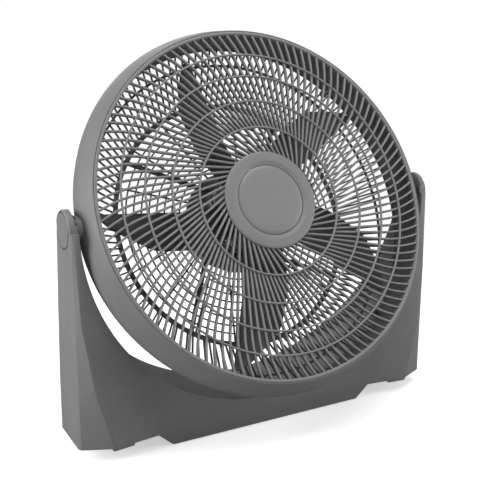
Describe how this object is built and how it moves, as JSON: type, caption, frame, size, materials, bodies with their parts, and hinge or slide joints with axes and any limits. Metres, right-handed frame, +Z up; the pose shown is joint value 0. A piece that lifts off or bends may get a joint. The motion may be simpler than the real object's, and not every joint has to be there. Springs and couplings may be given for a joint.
{
  "type": "air circulator fan",
  "caption": "Round floor fan in a deep flared drum with swept guard ribs, tilting between the legs of a wide moulded base.",
  "frame": {"origin": "on the floor, under the middle of the fan's box, with the drum tilted up as pictured", "axes": "+X to the right of someone facing the fan, along the tilt axis and the widest way; +Y towards the back; +Z up"},
  "size_m": [0.5568, 0.3004, 0.5429],
  "materials": {
    "base_plastic": "fine matt moulded ABS, dark grey",
    "drum_plastic": "fine matt moulded ABS, grey",
    "grille_plastic": "fine matt moulded ABS, grey",
    "badge_plastic": "satin moulded ABS, mid grey",
    "guard_plastic": "matt moulded plastic, dark grey",
    "blade_plastic": "satin moulded polypropylene, dark grey",
    "knob_plastic": "satin moulded plastic, dark grey",
    "foot_rubber": "soft rubber, near black",
    "gland_rubber": "soft rubber, near black",
    "washer_plastic": "acetal, black",
    "switch_plastic": "phenolic, light brown grey",
    "capacitor_case": "gloss case, black",
    "zinc_steel": "zinc plated steel",
    "ground_steel": "ground steel",
    "bracket_steel": "black painted sheet steel",
    "cast_aluminium": "die-cast, bare",
    "lamination_steel": "varnished electrical steel sheet",
    "copper_wire": "enamelled copper wire",
    "bronze": "sintered bronze"
  },
  "bodies": {
    "base": {"base_front_shell": "base_plastic", "base_rear_cover": "base_plastic", "base_screws": "zinc_steel", "base_feet": "foot_rubber", "pivot_caps": "base_plastic", "pivot_washers": "washer_plastic"},
    "drum": {"drum_shroud": "drum_plastic", "front_grille": "grille_plastic", "centre_badge": "badge_plastic", "rear_grille": "guard_plastic", "grille_screws": "zinc_steel", "bracket_screws": "zinc_steel", "motor_bracket": "bracket_steel", "motor_front_housing": "cast_aluminium", "motor_rear_housing": "cast_aluminium", "stator_core": "lamination_steel", "stator_winding": "copper_wire", "front_bearing": "bronze", "rear_bearing": "bronze", "motor_screws": "zinc_steel", "run_capacitor": "capacitor_case", "motor_cover": "guard_plastic", "cover_screws": "zinc_steel", "speed_switch": "switch_plastic", "cord_gland": "gland_rubber", "pivot_bolts": "zinc_steel"},
    "fan": {"fan_blade": "blade_plastic", "blade_nut": "zinc_steel", "motor_shaft": "ground_steel", "rotor_core": "lamination_steel"},
    "knob": {"speed_knob": "knob_plastic"}
  },
  "joints": [
    {"name": "drum_tilt", "type": "hinge", "parent": "base", "child": "drum", "pos_m": [0, -0.00437, 0.306], "axis": [-1, 0, 0], "range_deg": [-26.7, 63.3]},
    {"name": "fan_spin", "type": "hinge", "parent": "drum", "child": "fan", "pos_m": [0, -0.00437, 0.306], "axis": [0, -0.8934, 0.4493], "continuous": true},
    {"name": "speed_knob_turn", "type": "hinge", "parent": "drum", "child": "knob", "pos_m": [0, 0.11452, 0.27531], "axis": [0, 0.8934, -0.4493], "range_deg": [0, 120]}
  ]
}
